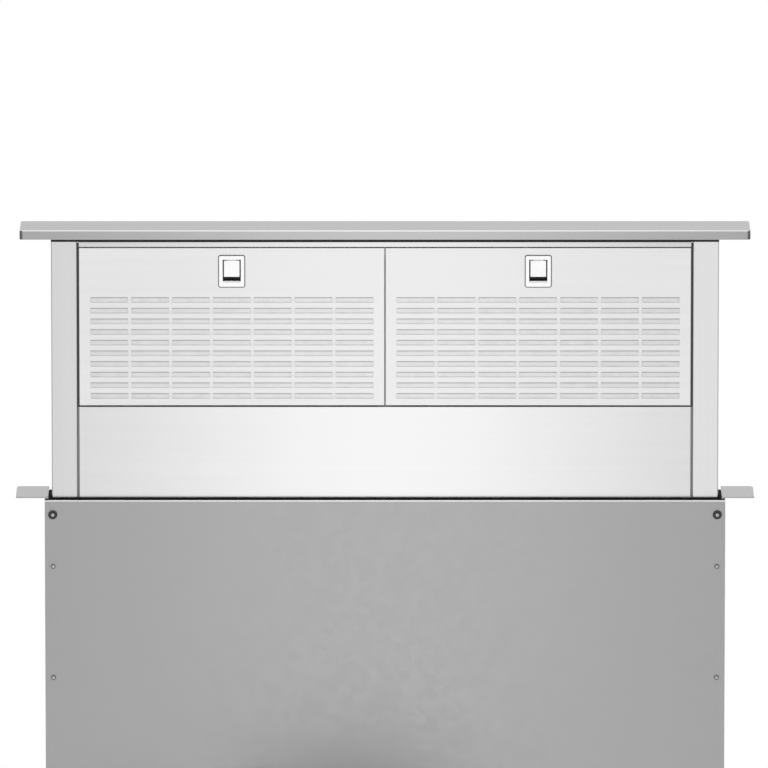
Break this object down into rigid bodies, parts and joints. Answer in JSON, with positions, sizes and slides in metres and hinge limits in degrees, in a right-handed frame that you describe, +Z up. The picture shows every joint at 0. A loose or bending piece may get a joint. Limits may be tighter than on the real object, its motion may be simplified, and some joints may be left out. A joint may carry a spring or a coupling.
{
  "type": "downdraft vent",
  "caption": "Retractable kitchen vent: a tower with slotted filters rises from a worktop slot out of a slim housing, whose front carries a blower with a side outlet.",
  "frame": {"origin": "centre of the worktop slot, level with the worktop's surface", "axes": "+X to the right seen from the front, +Y to the back, +Z up"},
  "size_m": [0.926, 0.2792, 1.123],
  "materials": {
    "stainless": "fine brushed",
    "inner_steel": "mill",
    "galvanised": "galvanised",
    "mesh": "expanded mesh",
    "damper": "mill",
    "black_rubber": "matte",
    "white_plastic": "fine grain",
    "black_plastic": "matte",
    "screw_steel": "bright zinc",
    "bronze": "machined",
    "cast_metal": "die cast",
    "motor_enamel": "baked enamel",
    "wheel_metal": "mill",
    "capacitor_can": "drawn",
    "box_paint": "powder coat",
    "board_green": "lacquered",
    "cap_steel": "fine brushed"
  },
  "bodies": {
    "housing": {"housing_front_panel": "galvanised", "housing_back_panel": "galvanised", "housing_sides": "galvanised", "housing_bottom_pan": "galvanised", "end_flange_left": "stainless", "end_flange_right": "stainless", "flange_washers": "black_plastic", "housing_screws": "screw_steel", "slot_seal": "black_rubber", "guide_rails": "galvanised", "glide_pads": "white_plastic", "timing_belt": "black_rubber", "screw_bearings": "cast_metal", "lift_gearbox": "cast_metal", "lift_motor": "motor_enamel", "limit_switches": "black_plastic", "scroll_back_plate": "galvanised", "scroll_wrap": "galvanised", "scroll_front_plate": "galvanised", "blower_motor": "motor_enamel", "motor_bracket": "galvanised", "capacitor": "capacitor_can", "outlet_collar": "galvanised", "damper_pin": "screw_steel", "control_box": "box_paint", "control_box_cover": "box_paint", "control_board": "board_green", "hex_bolts": "screw_steel"},
    "tower": {"top_cap": "cap_steel", "cap_gasket": "black_rubber", "cap_screws": "screw_steel", "tower_top_channel": "stainless", "tower_column_left": "stainless", "tower_column_right": "stainless", "lower_front_panel": "stainless", "rear_panel": "inner_steel", "tower_bottom_frame": "inner_steel", "lift_nuts": "bronze", "guide_shoes": "white_plastic", "filter_seats": "inner_steel"},
    "filter_left": {"filter_face_left": "stainless", "filter_mesh_left": "mesh", "latch_bezel_left": "white_plastic", "latch_spring_left": "screw_steel"},
    "filter_right": {"filter_face_right": "stainless", "filter_mesh_right": "mesh", "latch_bezel_right": "white_plastic", "latch_spring_right": "screw_steel"},
    "latch_left": {"latch_slider_left": "white_plastic"},
    "latch_right": {"latch_slider_right": "white_plastic"},
    "lead_screw_left": {"lead_screw_left": "screw_steel", "belt_pulley_left": "screw_steel"},
    "lead_screw_right": {"lead_screw_right": "screw_steel", "belt_pulley_right": "screw_steel"},
    "impeller": {"impeller": "wheel_metal", "motor_shaft": "screw_steel"},
    "damper_front": {"damper_flap_front": "damper"},
    "damper_back": {"damper_flap_back": "damper"},
    "leg_left": {"support_leg_left": "galvanised"},
    "leg_right": {"support_leg_right": "galvanised"}
  },
  "joints": [
    {"name": "tower_lift", "type": "slide", "parent": "housing", "child": "tower", "axis": [0, 0, 1], "range_m": [-0.329, 0]},
    {"name": "lead_screw_left_spin", "type": "hinge", "parent": "housing", "child": "lead_screw_left", "pos_m": [-0.40175, 0, -0.3], "axis": [0, 0, 1], "continuous": true},
    {"name": "lead_screw_right_spin", "type": "hinge", "parent": "housing", "child": "lead_screw_right", "pos_m": [0.40175, 0, -0.3], "axis": [0, 0, 1], "continuous": true},
    {"name": "filter_tilt_left", "type": "hinge", "parent": "tower", "child": "filter_left", "pos_m": [0, -0.02, 0.118], "axis": [1, 0, 0], "range_deg": [0, 60]},
    {"name": "filter_tilt_right", "type": "hinge", "parent": "tower", "child": "filter_right", "pos_m": [0, -0.02, 0.118], "axis": [1, 0, 0], "range_deg": [0, 60]},
    {"name": "latch_left", "type": "slide", "parent": "filter_left", "child": "latch_left", "axis": [0, 0, -1], "range_m": [0, 0.0042], "stiffness_N_per_m": 400, "springref_m": -0.003, "deforming": ["latch_spring_left"]},
    {"name": "latch_right", "type": "slide", "parent": "filter_right", "child": "latch_right", "axis": [0, 0, -1], "range_m": [0, 0.0042], "stiffness_N_per_m": 400, "springref_m": -0.003, "deforming": ["latch_spring_right"]},
    {"name": "impeller_spin", "type": "hinge", "parent": "housing", "child": "impeller", "pos_m": [-0.03, -0.1, -0.505], "axis": [0, 1, 0], "continuous": true},
    {"name": "damper_front_swing", "type": "hinge", "parent": "housing", "child": "damper_front", "pos_m": [0.137, -0.1082, -0.591], "axis": [0, 0, 1], "range_deg": [0, 75], "stiffness_Nm_per_rad": 0.002},
    {"name": "damper_back_swing", "type": "hinge", "parent": "housing", "child": "damper_back", "pos_m": [0.137, -0.1082, -0.591], "axis": [0, 0, -1], "range_deg": [0, 75], "stiffness_Nm_per_rad": 0.002},
    {"name": "leg_left_adjust", "type": "slide", "parent": "housing", "child": "leg_left", "axis": [0, 0, 1], "range_m": [-0.03, 0.03]},
    {"name": "leg_right_adjust", "type": "slide", "parent": "housing", "child": "leg_right", "axis": [0, 0, 1], "range_m": [-0.03, 0.03]}
  ],
  "couplings": [
    {"joint": "lead_screw_left_spin", "follows": "tower_lift", "rad_per_m": -628.32},
    {"joint": "lead_screw_right_spin", "follows": "tower_lift", "rad_per_m": -628.32}
  ]
}
